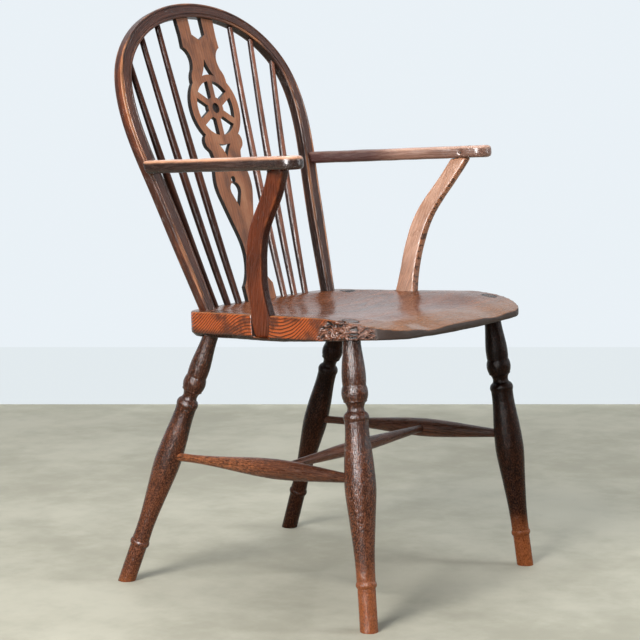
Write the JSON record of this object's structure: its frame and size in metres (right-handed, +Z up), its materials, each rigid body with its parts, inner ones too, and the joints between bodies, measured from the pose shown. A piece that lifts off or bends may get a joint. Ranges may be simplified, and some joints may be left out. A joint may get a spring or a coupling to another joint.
{
  "type": "wheelback armchair",
  "caption": "Windsor armchair with a bent bow back, pierced wheel splat, round sticks, curved arms on bowed supports, a saddled plank seat and splayed turned legs.",
  "frame": {"origin": "on the floor, at the middle of the box round the chair", "axes": "+Z up, the sitter faces -Y, the sitter's left is +X"},
  "size_m": [0.557, 0.527, 0.8878],
  "materials": {
    "seat_elm": "waxed, worn",
    "bow_wood": "waxed, worn",
    "splat_wood": "waxed, worn",
    "stick_wood": "waxed",
    "arm_wood": "waxed, worn",
    "support_wood": "waxed, worn",
    "leg_wood": "waxed, worn feet",
    "stretcher_wood": "waxed",
    "wedge_wood": "waxed end grain",
    "iron": "dark, dull"
  },
  "bodies": {
    "root": {"seat": "seat_elm", "bow": "bow_wood", "splat": "splat_wood", "stick_left_1": "stick_wood", "stick_left_2": "stick_wood", "stick_left_3": "stick_wood", "stick_right_1": "stick_wood", "stick_right_2": "stick_wood", "stick_right_3": "stick_wood", "arm_left": "arm_wood", "arm_right": "arm_wood", "arm_support_left": "support_wood", "arm_support_right": "support_wood", "leg_front_left": "leg_wood", "leg_front_right": "leg_wood", "leg_rear_left": "leg_wood", "leg_rear_right": "leg_wood", "side_stretcher_left": "stretcher_wood", "side_stretcher_right": "stretcher_wood", "cross_stretcher": "stretcher_wood", "leg_wedges": "wedge_wood", "bow_wedges": "wedge_wood", "arm_wedges": "wedge_wood", "arm_pins": "iron", "arm_screws": "iron"}
  },
  "joints": []
}
